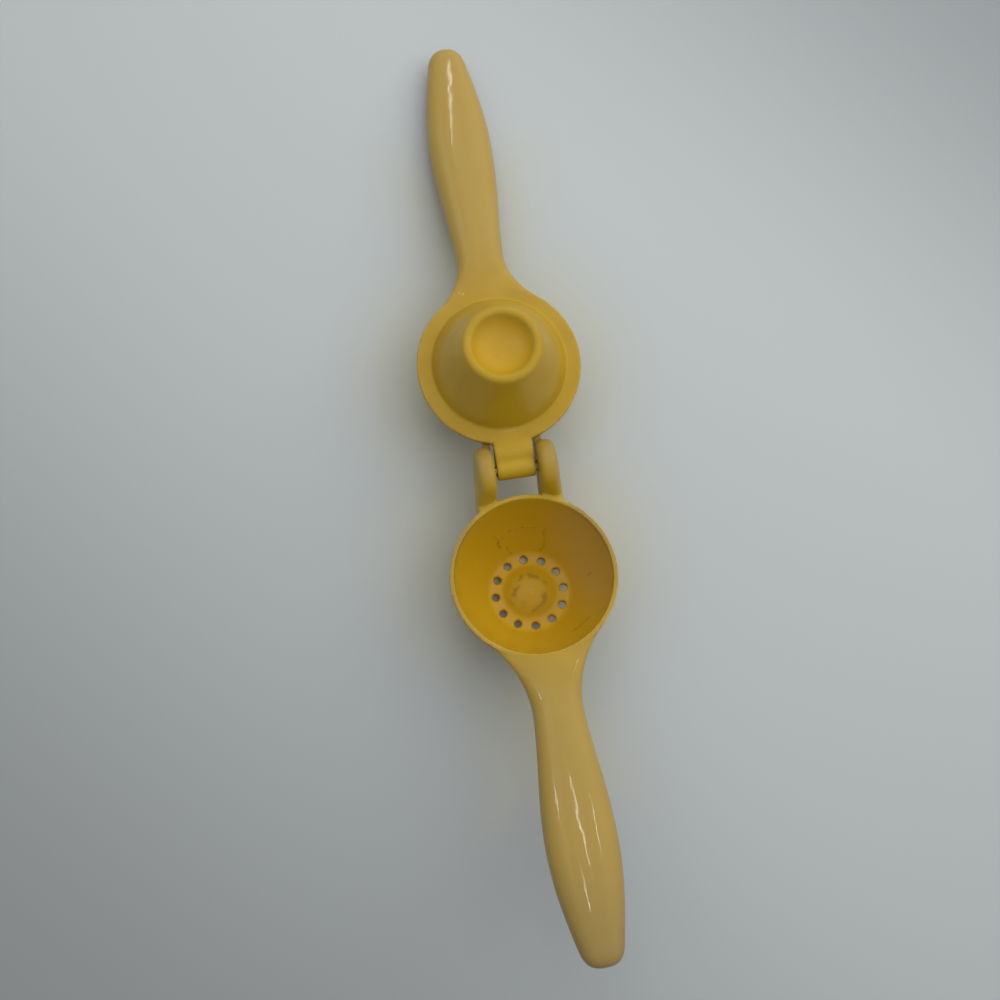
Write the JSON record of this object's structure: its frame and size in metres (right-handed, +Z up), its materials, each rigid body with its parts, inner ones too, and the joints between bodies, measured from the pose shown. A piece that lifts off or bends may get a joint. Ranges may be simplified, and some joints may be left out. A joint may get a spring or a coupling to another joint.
{
  "type": "hinged lemon squeezer",
  "caption": "Two-handled lever squeezer laid open: a bowl with drain holes and a hollow cone press, cast arms joined by one hinge pin.",
  "frame": {"origin": "on the table, under the middle of the opened squeezer's length", "axes": "+Z up, +Y along the squeezer from the bowl arm's handle to the press arm's handle, +X along the hinge pin"},
  "size_m": [0.07, 0.3902, 0.0726],
  "materials": {
    "yellow_enamel": "baked mustard-yellow enamel over cast aluminium, glossy with a light orange peel, worn at the edges",
    "pin_steel": "plain drawn steel, peened at both ends"
  },
  "bodies": {
    "bowl": {"bowl_arm": "yellow_enamel", "hinge_pin": "pin_steel"},
    "press": {"press_arm": "yellow_enamel"}
  },
  "joints": [
    {"name": "press_hinge", "type": "hinge", "parent": "bowl", "child": "press", "pos_m": [0, -0.00067, 0.03131], "axis": [1, 0, 0], "range_deg": [0, 171.3]}
  ]
}
